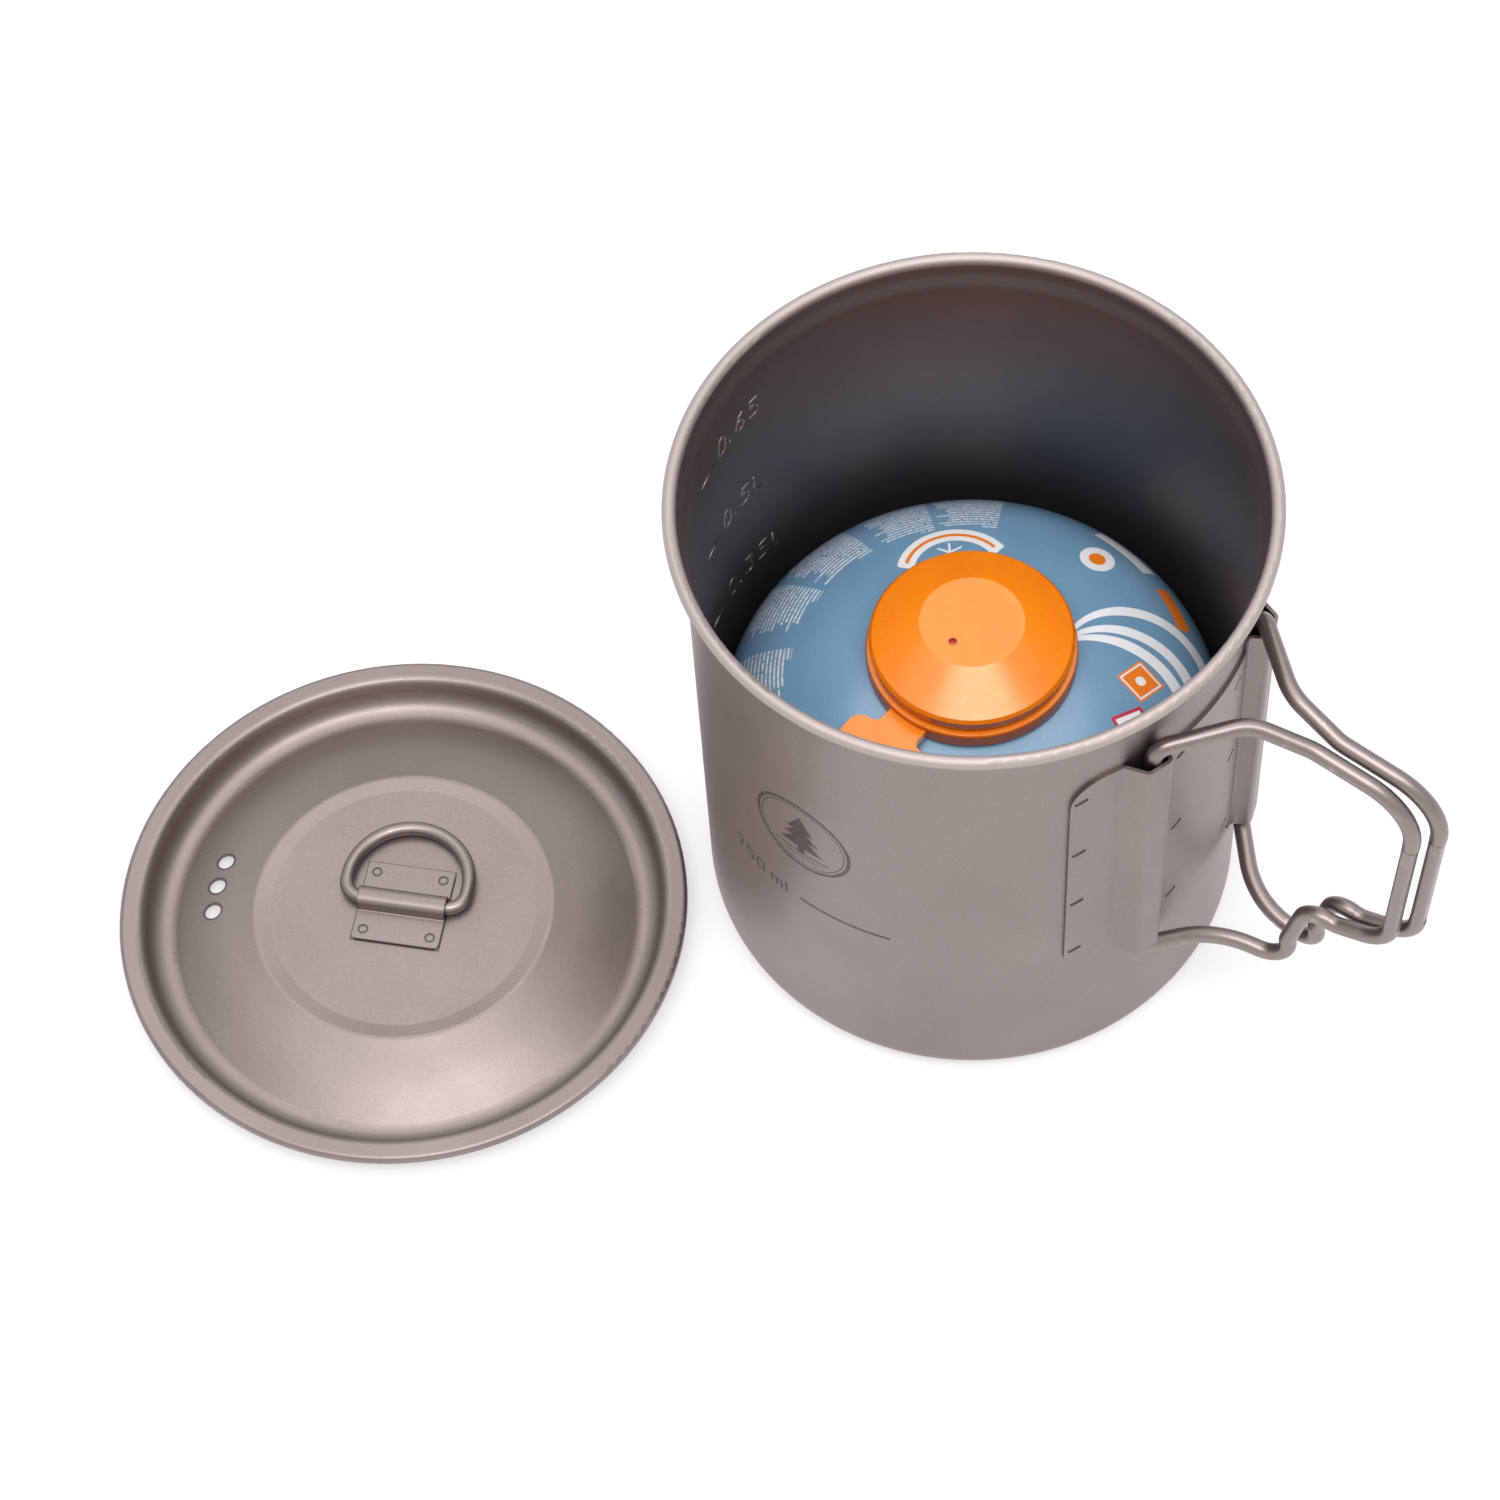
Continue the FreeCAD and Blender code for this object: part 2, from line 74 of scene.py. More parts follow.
def make_camera():
    pan, tilt, roll = (math.radians(a) for a in (CAMERA_PAN, CAMERA_TILT, CAMERA_ROLL))
    position = Vector(CAMERA_PLACE) * MM
    ahead = math.cos(tilt)
    forward = Vector((math.sin(pan) * ahead, math.cos(pan) * ahead, -math.sin(tilt)))
    level = Vector((math.cos(pan), -math.sin(pan), 0))
    down = forward.cross(level)
    right = math.cos(roll) * level + math.sin(roll) * down
    down = -math.sin(roll) * level + math.cos(roll) * down
    data = bpy.data.cameras.new("camera")
    data.sensor_width = SENSOR_WIDTH
    data.lens = FOCAL_LENGTH
    data.clip_start, data.clip_end = 0.01, 20
    camera = bpy.data.objects.new("camera", data)
    camera.matrix_world = Matrix((
        (right.x, -down.x, -forward.x, position.x),
        (right.y, -down.y, -forward.y, position.y),
        (right.z, -down.z, -forward.z, position.z),
        (0, 0, 0, 1),
    ))
    bpy.context.scene.collection.objects.link(camera)
    bpy.context.scene.camera = camera


# ---------------------------------------------------------------- node maths

class Num:
    """One number in a shader, so that node maths reads as plain arithmetic."""

    def __init__(self, tree, socket):
        self.tree, self.socket = tree, socket

    def op(self, operation, *others, clamp=False):
        node = self.tree.nodes.new("ShaderNodeMath")
        node.operation = operation
        node.use_clamp = clamp
        for slot, item in zip(node.inputs, (self, *others)):
            if isinstance(item, Num):
                self.tree.links.new(item.socket, slot)
            else:
                slot.default_value = item
        return Num(self.tree, node.outputs[0])

    def __add__(self, other):
        return self.op("ADD", other)

    def __sub__(self, other):
        return self.op("SUBTRACT", other)

    def __mul__(self, other):
        return self.op("MULTIPLY", other)

    def __truediv__(self, other):
        return self.op("DIVIDE", other)

    def less_from(self, number):
        """number - self"""
        return self.op("MULTIPLY_ADD", -1.0, number)

    def low(self, other):
        return self.op("MINIMUM", other)

    def high(self, other):
        return self.op("MAXIMUM", other)

    def abs(self):
        return self.op("ABSOLUTE")

    def floor(self):
        return self.op("FLOOR")

    def fraction(self):
        return self.op("FRACT")

    def above(self, limit):
        return self.op("GREATER_THAN", limit)

    def below(self, limit):
        return self.op("LESS_THAN", limit)

    def between(self, lo, hi):
        """Distance outside the range from lo to hi, negative inside it."""
        return (self - (lo + hi) / 2).abs() - (hi - lo) / 2

    def ink(self, soft=0.1):
        """1 where a distance is negative, 0 where it is positive, with a soft edge."""
        return self.op("MULTIPLY_ADD", -1.0 / soft, 0.5, clamp=True)

    def spread(self, lo, hi, to_lo=0.0, to_hi=1.0):
        node = self.tree.nodes.new("ShaderNodeMapRange")
        self.tree.links.new(self.socket, node.inputs["Value"])
        node.inputs["From Min"].default_value = lo
        node.inputs["From Max"].default_value = hi
        node.inputs["To Min"].default_value = to_lo
        node.inputs["To Max"].default_value = to_hi
        return Num(self.tree, node.outputs["Result"])


class Vec:
    """One vector in a shader."""

    def __init__(self, tree, socket):
        self.tree, self.socket = tree, socket

    def op(self, operation, other=None, output="Vector", scale=None):
        node = self.tree.nodes.new("ShaderNodeVectorMath")
        node.operation = operation
        self.tree.links.new(self.socket, node.inputs[0])
        if isinstance(other, Vec):
            self.tree.links.new(other.socket, node.inputs[1])
        elif other is not None:
            node.inputs[1].default_value = other
        if isinstance(scale, Num):
            self.tree.links.new(scale.socket, node.inputs["Scale"])
        elif scale is not None:
            node.inputs["Scale"].default_value = scale
        return (Num if output == "Value" else Vec)(self.tree, node.outputs[output])

    def dot(self, other):
        return self.op("DOT_PRODUCT", other, "Value")

    def distance(self, other):
        return self.op("DISTANCE", other, "Value")

    def parts(self):
        node = self.tree.nodes.new("ShaderNodeSeparateXYZ")
        self.tree.links.new(self.socket, node.inputs[0])
        return [Num(self.tree, s) for s in node.outputs]


class Shader:
    """A principled material that is being built, with the object's own position in millimetres."""

    def __init__(self, name, centre=(0, 0, 0)):
        self.material = bpy.data.materials.new(name)
        self.material.use_nodes = True
        self.tree = self.material.node_tree
        self.surface = next(n for n in self.tree.nodes if n.type == "BSDF_PRINCIPLED")
        coords = self.tree.nodes.new("ShaderNodeTexCoord")
        self.facing = Vec(self.tree, coords.outputs["Normal"])
        place = Vec(self.tree, coords.outputs["Object"])
        self.at = place.op("SCALE", scale=1 / MM).op("SUBTRACT", centre)

    def link(self, value, socket):
        self.tree.links.new(value.socket, self.surface.inputs[socket])

    def set(self, **sockets):
        for name, value in sockets.items():
            self.surface.inputs[name.replace("_", " ")].default_value = value

    def vector(self, x, y, z=0.0):
        node = self.tree.nodes.new("ShaderNodeCombineXYZ")
        for slot, item in zip(node.inputs, (x, y, z)):
            if isinstance(item, Num):
                self.tree.links.new(item.socket, slot)
            else:
                slot.default_value = item
        return Vec(self.tree, node.outputs[0])

    def noise(self, size, detail=2.0, rough=0.5, where=None, stretch=None):
        """Noise from 0 to 1 whose grains are about size millimetres."""
        node = self.tree.nodes.new("ShaderNodeTexNoise")
        node.inputs["Scale"].default_value = 1 / size
        node.inputs["Detail"].default_value = detail
        node.inputs["Roughness"].default_value = rough
        place = where or self.at
        if stretch:
            place = place.op("MULTIPLY", stretch)
        self.tree.links.new(place.socket, node.inputs["Vector"])
        return Num(self.tree, node.outputs["Fac"])

    def chance(self, place):
        """One random number from 0 to 1 for each cell of a vector of whole numbers."""
        node = self.tree.nodes.new("ShaderNodeTexWhiteNoise")
        node.noise_dimensions = "3D"
        self.tree.links.new(place.socket, node.inputs["Vector"])
        return Num(self.tree, node.outputs["Value"])

    def mix(self, share, first, second):
        """Colour between two colours, which are linear triples or earlier mixes."""
        node = self.tree.nodes.new("ShaderNodeMix")
        node.data_type = "RGBA"
        self.tree.links.new(share.socket, node.inputs[0])
        for slot, colour in ((node.inputs[6], first), (node.inputs[7], second)):
            if isinstance(colour, Vec):
                self.tree.links.new(colour.socket, slot)
            else:
                slot.default_value = (*colour, 1)
        return Vec(self.tree, node.outputs[2])

    def bump(self, height, depth, normal=None):
        """Relief whose height, from 0 to 1, is depth millimetres."""
        node = self.tree.nodes.new("ShaderNodeBump")
        node.inputs["Strength"].default_value = 1.0
        node.inputs["Distance"].default_value = depth * MM
        self.tree.links.new(height.socket, node.inputs["Height"])
        if normal:
            self.tree.links.new(normal.socket, node.inputs["Normal"])
        relief = Vec(self.tree, node.outputs["Normal"])
        self.link(relief, "Normal")
        return relief

    def around(self):
        """Distance from the vertical axis, and angle from 0 to 360 degrees."""
        x, y, z = self.at.parts()
        radius = self.vector(x, y).op("LENGTH", output="Value")
        angle = (y * -1.0).op("ARCTAN2", x * -1.0) * math.degrees(1) + 180.0
        return radius, angle, z

    def outward(self):
        """How far the surface faces away from the vertical axis: 1 straight out, -1 straight in."""
        x, y, _ = self.at.parts()
        return self.facing.dot(self.vector(x, y).op("NORMALIZE"))


def srgb(r, g, b):
    """Linear colour from the usual 0 to 255 values."""
    def linear(c):
        c = c / 255
        return c / 12.92 if c <= 0.04045 else ((c + 0.055) / 1.055) ** 2.4

    return tuple(linear(c) for c in (r, g, b))


def polygon_distance(point, corners):
    """Distance outside a convex polygon whose corners run anticlockwise, negative inside."""
    result = None
    for (x0, y0), (x1, y1) in zip(corners, corners[1:] + corners[:1]):
        length = math.hypot(x1 - x0, y1 - y0)
        normal = ((y1 - y0) / length, (x0 - x1) / length, 0)
        edge = point.dot(normal) - (normal[0] * x0 + normal[1] * y0)
        result = edge if result is None else result.high(edge)
    return result


def stroke_distance(point, start, end, width):
    """Distance outside a round-ended line of this width."""
    a, d = Vector((*start, 0)), Vector((end[0] - start[0], end[1] - start[1], 0))
    along = point.dot(tuple(d / d.length_squared)).op("SUBTRACT", a.dot(d) / d.length_squared, clamp=True)
    step = along.tree.nodes.new("ShaderNodeVectorMath")
    step.operation = "SCALE"
    step.inputs[0].default_value = d
    along.tree.links.new(along.socket, step.inputs["Scale"])
    back = point.op("SUBTRACT", Vec(along.tree, step.outputs[0]))
    return back.distance(tuple(a)) - width / 2


def lowest(values):
    """Distance outside the union of several shapes."""
    result = values[0]
    for value in values[1:]:
        result = result.low(value)
    return result


def square(centre, half, turn):
    """Corners of a square, anticlockwise."""
    made = []
    for step in range(4):
        angle = math.radians(turn + 45 + 90 * step)
        reach = half * math.sqrt(2)
        made.append((centre[0] + reach * math.cos(angle), centre[1] + reach * math.sin(angle)))
    return made


# ---------------------------------------------------------------- materials

TITANIUM_LIGHT = (0.292, 0.244, 0.235)
TITANIUM_DARK = (0.268, 0.223, 0.214)
FLECK = (0.50, 0.44, 0.42)
PIT = (0.13, 0.105, 0.10)
RIM_PAINTED_HIGHLIGHT = (0.60, 0.53, 0.51)     # painted highlight along the rolled rim
ETCHED = (0.085, 0.070, 0.066)
# Painted shade at the strap's edge and round the steam holes, and the dark of the strap's welds.
SHADE_AND_WELD_DARK = (0.070, 0.060, 0.057)
# Painted shade for the inside of the pot.
INSIDE_PAINTED_SHADE = (0.080, 0.072, 0.075)


def titanium_base(name, centre=(0, 0, 0), grain=0.36, rough=0.44):
    """Sandblasted titanium: fine even grain, slow changes of tone and faint handling marks."""
    made = Shader(name, centre)
    slow = made.noise(26, detail=3).spread(0.35, 0.65)
    colour = made.mix(slow, TITANIUM_DARK, TITANIUM_LIGHT)
    speckle = made.noise(grain, detail=2.5, rough=0.65)
    fleck = speckle.spread(0.56, 0.74) * 0.24
    colour = made.mix(fleck, colour, FLECK)
    pit = speckle.spread(0.44, 0.26) * 0.22
    colour = made.mix(pit, colour, PIT)
    made.set(Metallic=1.0)
    smudge = made.noise(9, detail=4, rough=0.6).spread(0.3, 0.7, rough - 0.012, rough + 0.025)
    return made, colour, speckle, smudge


def finish_titanium(made, colour, speckle, smudge, depth=0.006):
    made.link(colour, "Base Color")
    made.link(smudge, "Roughness")
    made.bump(speckle, depth)
    return made.material


BADGE_AZ, BADGE_Z = 229.0, 66.3
BADGE_R = 9.6
CAPACITY_AZ, CAPACITY_Z = 208.5, 43.4


def emblem(point):
    """Plain etched badge: a ring with a pine tree over two ground lines, from the badge's centre."""
    reach = point.distance((0, 0, 0))
    ring = (reach - BADGE_R).abs() - 0.35
    inner_ring = (reach - (BADGE_R - 0.9)).abs() - 0.12
    tree = lowest([
        polygon_distance(point, [(-half, foot), (half, foot), (0, tip)])
        for half, foot, tip in ((4.6, -3.6, 0.6), (3.7, -0.9, 3.0), (2.7, 1.6, 6.2))
    ])
    trunk = polygon_distance(point, [(-0.7, -5.2), (0.7, -5.2), (0.7, -3.4), (-0.7, -3.4)])
    ground = lowest([
        stroke_distance(point, (-5.4, -5.2), (5.4, -5.2), 0.4),
        stroke_distance(point, (-3.6, -6.4), (3.6, -6.4), 0.3),
    ])
    return lowest([ring, inner_ring, tree, trunk, ground])


def capacity_mark(point):
    """Etched capacity, 750 ml, and a plain rule, from its left end."""
    h, w = 3.0, 1.75        # a digit's height and width
    low, stem = 2.0, 1.2    # the m's height and the step between its stems
    digits = (
        (0.0, ((0, h), (w, h), (0.6, 0))),
        (2.9, ((w, h), (0.1, h), (0.05, 1.75), (1.15, 1.8), (w, 1.2), (w, 0.6), (1.1, 0), (0, 0.1))),
        (5.8, ((0.45, 0), (0, 0.6), (0, 2.4), (0.45, h), (1.3, h),
               (w, 2.4), (w, 0.6), (1.3, 0), (0.45, 0))),
        (9.6, ((0, 0), (0, low), (stem, low), (stem, 0))),
        (9.6, ((stem, low), (2 * stem, low), (2 * stem, 0))),
        (13.1, ((0, 3.1), (0, 0))),
    )
    strokes = [
        stroke_distance(point, (left + a[0], a[1]), (left + b[0], b[1]), 0.5)
        for left, run in digits
        for a, b in zip(run, run[1:])
    ]
    rule = stroke_distance(point, (16.5, 1.2), (33.5, 1.2), 0.75)
    return lowest(strokes).low(rule)


def pot_material():
    """The pot: etched marks outside, painted shade inside, and a painted highlight on the rolled rim."""
    made, colour, speckle, smudge = titanium_base("pot_titanium")
    radius, angle, z = made.around()
    outside = radius.above((POT_WALL_R + POT_INSIDE_R) / 2)
    arc = POT_WALL_R * math.radians(1)      # millimetres along the wall in one degree
    badge = made.vector((angle - BADGE_AZ) * arc, z - BADGE_Z)
    capacity = made.vector((angle - CAPACITY_AZ) * arc, z - CAPACITY_Z)
    etched = emblem(badge).low(capacity_mark(capacity)).ink(0.14) * outside
    worn = made.noise(0.8, detail=2).spread(0.25, 0.6, 0.75, 1.0)
    colour = made.mix(etched * worn, colour, ETCHED)

    rim_foot = POT_H - 1.7
    inside = made.outward().spread(-0.25, -0.75) * z.spread(rim_foot + 0.6, rim_foot)
    # Painted shade on the inside wall, stronger towards the top.
    colour = made.mix(inside * z.spread(40, 95, 0.15, 0.5), colour, INSIDE_PAINTED_SHADE)
    rim = z.spread(rim_foot, rim_foot + 0.7)
    # Painted highlight: the rolled rim is mixed lighter.
    colour = made.mix(rim * 0.6, colour, RIM_PAINTED_HIGHLIGHT)
    smudge = smudge + rim * 0.16 + inside * z.spread(98, 106) * 0.12
    return finish_titanium(made, colour, speckle * rim.spread(0.0, 1.0, 1.0, 0.25), smudge)


def marks_material():
    """Stamped graduations, painted lighter than the wall round them as a highlight."""
    made, colour, speckle, smudge = titanium_base("marks_titanium", grain=0.22, rough=0.34)
    painted_glint = made.noise(0.9, detail=2).spread(0.35, 0.65, 0.3, 0.9)
    # Painted highlight: the strokes are mixed lighter.
    colour = made.mix(painted_glint, colour, (0.52, 0.47, 0.45))
    return finish_titanium(made, colour, speckle, smudge, 0.004)


WELD_DIMPLES = (47.7, 48.12)    # nearest and farthest distance of the dimples from the pot's axis


def bracket_material():
    """The plate's spot welds are darker in their dimples."""
    made, colour, speckle, smudge = titanium_base("bracket_titanium")
    radius, _, _ = made.around()
    weld = radius.between(*WELD_DIMPLES).ink(0.05)
    colour = made.mix(weld * 0.5, colour, (0.13, 0.11, 0.104))
    return finish_titanium(made, colour, speckle, smudge)


STRAP_AZ = -12.6        # how far the lid's strap is turned
STRAP_W, STRAP_L = 16.3, 16.2
STRAP_WELD = (6.2, 6.0)     # each spot weld, across and along from the strap's middle
STRAP_WELD_R = 0.8
STEAM_HOLE_PITCH_R, STEAM_HOLE_R = 35.2, 1.5
STEAM_HOLE_AZ = (159.0, 167.6, 176.2)


def lid_material():
    """The lid and its strap: painted shade lines at the strap's edge and round the steam holes, and dark
    rings at its welds.
    """
    made, colour, speckle, smudge = titanium_base("lid_titanium", tuple(LID))
    turn = math.radians(STRAP_AZ)
    x, y, _ = made.at.parts()
    across = x * math.cos(turn) + y * math.sin(turn)
    along = y * math.cos(turn) - x * math.sin(turn)
    edge = across.abs() - STRAP_W / 2
    edge = edge.high(along.abs() - STRAP_L / 2)
    # Painted shade: a dark line round the strap's edge, where it meets the lid.
    strap_edge_shade = (edge.abs() - 0.15).ink(0.18)
    spot = made.vector(across.abs() - STRAP_WELD[0], along.abs() - STRAP_WELD[1])
    weld = ((spot.op("LENGTH", output="Value") - STRAP_WELD_R).abs() - 0.16).ink(0.16)
    colour = made.mix(strap_edge_shade.high(weld) * 0.8, colour, SHADE_AND_WELD_DARK)

    flat = made.vector(x, y)
    turns = [math.radians(az) for az in STEAM_HOLE_AZ]
    places = [(STEAM_HOLE_PITCH_R * math.cos(a), STEAM_HOLE_PITCH_R * math.sin(a), 0) for a in turns]
    holes = lowest([flat.distance(place) - STEAM_HOLE_R for place in places])
    # Painted shade round the edges of the steam holes.
    hole_edge = ((holes - 0.18).abs() - 0.18).ink(0.15)
    colour = made.mix(hole_edge * 0.75, colour, SHADE_AND_WELD_DARK)
    return finish_titanium(made, colour, speckle, smudge)


def wire_material():
    """Drawn wire: the same metal, a little smoother, with faint marks from bending."""
    made, colour, speckle, smudge = titanium_base("wire_titanium", grain=0.22, rough=0.38)
    scuff = made.noise(3.2, detail=4, rough=0.7).spread(0.60, 0.72) * 0.35
    colour = made.mix(scuff, colour, (0.55, 0.50, 0.47))
    return finish_titanium(made, colour, speckle, smudge, 0.004)


PAINT = srgb(107, 150, 183)
PAINT_LIGHT = srgb(127, 169, 201)
PAINT_CLOUD = srgb(90, 130, 162)
PRINT_WHITE = srgb(248, 250, 252)
PRINT_ORANGE = srgb(250, 132, 24)
PRINT_RED = srgb(200, 40, 60)
PRINT_BLACK = srgb(40, 42, 46)
PRINT_EDGE = 0.12       # softness of a printed shape's edge

# Prints on the dome are placed in plan, from the can's axis
DOME_FOOT_Z = 40.0
PRINT_PITCH = 0.72      # between rows of small print
PRINT_MIDDLE_R = 36     # where the letters of the small print have their true width
LETTER_W, WORD_W = 0.33, 0.9

# Small print blocks: first and last angle, nearest and farthest distance from the axis
PRINT_BLOCKS = (
    (77.5, 97.0, 29.4, 43.0),
    (98.5, 117.0, 29.4, 42.0),
    (121.0, 141.5, 30.0, 42.0),
    (143.5, 161.0, 30.6, 42.0),
    (167.0, 184.0, 31.4, 42.0),
    (190.0, 207.5, 31.0, 42.0),
    (213.0, 231.0, 31.0, 42.0),
)

# Tapered bands: each one's circle centre and radius, and the half width at its wide end
SWEEPS = (
    ((28.36, -3.36), 13.31, 1.0),
    ((25.02, -7.72), 13.30, 1.0),
    ((22.08, -10.97), 14.30, 1.05),
)
SWEEP_START_X = 16.0

BANNER = (-1.5, 18.9, 0)
BANNER_R = 8.7
BANNER_SECTOR = [(-11.3, 20.6), (0, 15.5), (7.6, 24.2), (2, 34), (-16, 30)]
STAR = (-2.2, 23.0)
STAR_REACH = 2.3
ICON = (23.6, 22.0, 0)
ORANGE_LABEL, ORANGE_LABEL_TURN = (28.75, -4.5), 41
RED_LABEL, RED_LABEL_TURN = (27.0, -13.5), 28

# Printed rings on the side wall: lowest and highest edge
SIDE_RINGS = ((34.2, 35.4), (8.0, 9.2), (10.4, 10.9))
SIDE_TOP_Z = 39.0


def small_print(made, radius, angle):
    """Blocks of unreadable small print: rows of broken light dashes."""
    rows = radius / PRINT_PITCH
    row = rows.floor()
    line = (rows.fraction() - 0.5).abs() - 0.24
    along = angle * (PRINT_MIDDLE_R * math.radians(1))
    letters = made.chance(made.vector((along / LETTER_W).floor(), row)).spread(0.0, 1.0, 0.4, 1.0)
    word = made.noise(1.0, detail=0, where=made.vector(along / WORD_W, row * 7.31)).above(0.27)
    ragged = made.chance(made.vector(row, 4.0))
    covered = None
    for start, end, inner, outer in PRINT_BLOCKS:
        into = angle - start
        length = ragged.spread(0.0, 1.0, (end - start) * 0.78, end - start)
        titles = radius.below(inner + 0.9).spread(0, 1, 1.0, 0.3)
        room = into.high(0.0) - length * titles
        block = room.high(into * -1.0).high(radius.between(inner, outer))
        covered = block if covered is None else covered.low(block)
    return covered.below(0.0) * line.ink(0.2) * letters * word


def sweeps(flat, x, y):
    """Three bands that start thin beside the cap and widen as they curve round the dome."""
    bands = []
    for centre, reach, grow in SWEEPS:
        half_width = x.spread(15.0, 27.0, 0.25, grow)
        band = (flat.distance((*centre, 0)) - reach).abs() - half_width
        bands.append(band.high(x.less_from(SWEEP_START_X)).high(y.less_from(centre[1] + 1.5)))
    return lowest(bands)


def star(flat):
    """Six-pointed star of three crossed strokes."""
    strokes = []
    for angle in (30, 90, 150):
        across = STAR_REACH * math.cos(math.radians(angle))
        up = STAR_REACH * math.sin(math.radians(angle))
        ends = (STAR[0] - across, STAR[1] - up), (STAR[0] + across, STAR[1] + up)
        strokes.append(stroke_distance(flat, *ends, 0.4))
    return lowest(strokes)


def dome_prints(flat, x, y, radius, angle):
    """Printed shapes as (colour, distance), in the order in which they are laid down."""
    banner = (flat.distance(BANNER) - BANNER_R).abs()
    sector = polygon_distance(flat, BANNER_SECTOR)
    white_bar = radius.between(37.8, 40.4).high(angle.between(33.0, 51.0))
    orange_bar = radius.between(37.6, 40.0).high(angle.between(13.0, 27.0))

    def label(place, half, turn):
        return polygon_distance(flat, square(place, half, turn))

    orange_frame = label(ORANGE_LABEL, 2.45, ORANGE_LABEL_TURN).abs() - 0.16
    return (
        (PRINT_WHITE, lowest([
            (banner - 1.55).high(sector),
            star(flat),
            sweeps(flat, x, y),
            flat.distance(ICON) - 3.1,
            white_bar,
        ])),
        (PRINT_ORANGE, lowest([
            flat.distance(ICON) - 1.5,
            (banner - 0.35).high(sector + 1.2),
            orange_bar,
            label(ORANGE_LABEL, 2.95, ORANGE_LABEL_TURN),
        ])),
        (PRINT_WHITE, orange_frame.low(flat.distance((*ORANGE_LABEL, 0)) - 0.9)),
        (PRINT_RED, label(RED_LABEL, 3.05, RED_LABEL_TURN)),
        (PRINT_WHITE, label(RED_LABEL, 2.45, RED_LABEL_TURN)),
        (PRINT_BLACK, label(RED_LABEL, 0.9, RED_LABEL_TURN + 45)),
    )


def canister_material():
    """Painted can: fine metallic speckle, clear coat and plain printed shapes."""
    made = Shader("canister_paint")
    radius, angle, z = made.around()
    x, y, _ = made.at.parts()
    flat = made.vector(x, y)
    speck = made.noise(0.22, detail=3, rough=0.7)
    colour = made.mix(speck.spread(0.32, 0.68), PAINT, PAINT_LIGHT)
    cloud = made.noise(12, detail=2).spread(0.3, 0.7) * 0.25
    colour = made.mix(cloud, colour, PAINT_CLOUD)

    dome = z.above(DOME_FOOT_Z)
    colour = made.mix(small_print(made, radius, angle) * dome, colour, PRINT_WHITE)
    for print_colour, distance in dome_prints(flat, x, y, radius, angle):
        colour = made.mix(distance.ink(PRINT_EDGE) * dome, colour, print_colour)
    rings = lowest([z.between(*edges) for edges in SIDE_RINGS])
    colour = made.mix(rings.ink(0.1) * z.below(SIDE_TOP_Z), colour, PRINT_WHITE)

    made.link(colour, "Base Color")
    made.set(Metallic=0.1, Coat_Weight=1.0, Coat_Roughness=0.22, Coat_IOR=1.55)
    gloss = made.noise(6, detail=3).spread(0.3, 0.7, 0.36, 0.44)
    made.link(gloss, "Roughness")
    made.bump(speck, 0.003)
    return made.material


CAP_ORANGE = srgb(246, 126, 0)
CAP_ORANGE_LIGHT = srgb(249, 134, 1)
CAP_FINE = srgb(255, 160, 50)
# Painted shade for the cap's upright sides.
CAP_SIDE_SHADE = srgb(160, 52, 0)
CAP_DIMPLE = srgb(170, 12, 0)
DIMPLE = (-3.51, -3.7, 73.0)
DIMPLE_R = 0.95


def cap_material():
    """Moulded plastic: faint flow lines, fine texture, light scratches and painted shade on the upright
    sides.
    """
    made = Shader("cap_plastic")
    flow = made.noise(5, detail=3, stretch=(1.0, 0.35, 1.0)).spread(0.3, 0.7)
    colour = made.mix(flow, CAP_ORANGE, CAP_ORANGE_LIGHT)
    fine = made.noise(0.5, detail=3, rough=0.6)
    colour = made.mix(fine.spread(0.45, 0.75) * 0.12, colour, CAP_FINE)
    dimple = made.at.distance(DIMPLE) - DIMPLE_R
    colour = made.mix(dimple.ink(0.3) * 0.95, colour, CAP_DIMPLE)
    # Painted shade on the upright sides.
    upright = made.outward().spread(0.7, 0.95)
    colour = made.mix(upright * 0.7, colour, CAP_SIDE_SHADE)
    made.link(colour, "Base Color")
    made.set(Subsurface_Weight=0.12, Subsurface_Radius=(0.004, 0.0015, 0.0005), Subsurface_Scale=1.0)
    made.set(Specular_IOR_Level=0.95, Specular_Tint=(1.0, 0.85, 0.65, 1))
    made.set(Coat_Weight=0.2, Coat_Roughness=0.2)
    scuffs = made.noise(3, detail=5, rough=0.7).spread(0.3, 0.7, 0.23, 0.33)
    made.link(scuffs, "Roughness")
    relief = made.bump(fine, 0.003)
    scratch = made.noise(1.2, detail=2, stretch=(1.0, 9.0, 1.0)).spread(0.66, 0.70)
    made.bump(scratch, 0.004, relief)
    return made.material


def steel_material():
    """Tin-plated steel of the can's base, the valve cup and its collar."""
    made = Shader("tinplate")
    grain = made.noise(0.35, detail=3, rough=0.6)
    colour = made.mix(grain.spread(0.3, 0.7), (0.50, 0.50, 0.49), (0.62, 0.62, 0.60))
    made.link(colour, "Base Color")
    made.set(Metallic=1.0)
    made.link(made.noise(5, detail=3).spread(0.3, 0.7, 0.24, 0.36), "Roughness")
    made.bump(grain, 0.003)
    return made.material


def plain_material(name, dark, light, metallic, rough):
    """Finish of the valve's small hidden parts: fine grain between two tones."""
    made = Shader(name)
    grain = made.noise(0.4, detail=3, rough=0.6)
    made.link(made.mix(grain.spread(0.3, 0.7), dark, light), "Base Color")
    made.set(Metallic=metallic)
    made.link(made.noise(3, detail=2).spread(0.3, 0.7, rough - 0.05, rough + 0.05), "Roughness")
    made.bump(grain, 0.004)
    return made.material


def paint_node(name, material):
    for slot in nodes[name].material_slots:
        slot.material = material


# ---------------------------------------------------------------- pieces

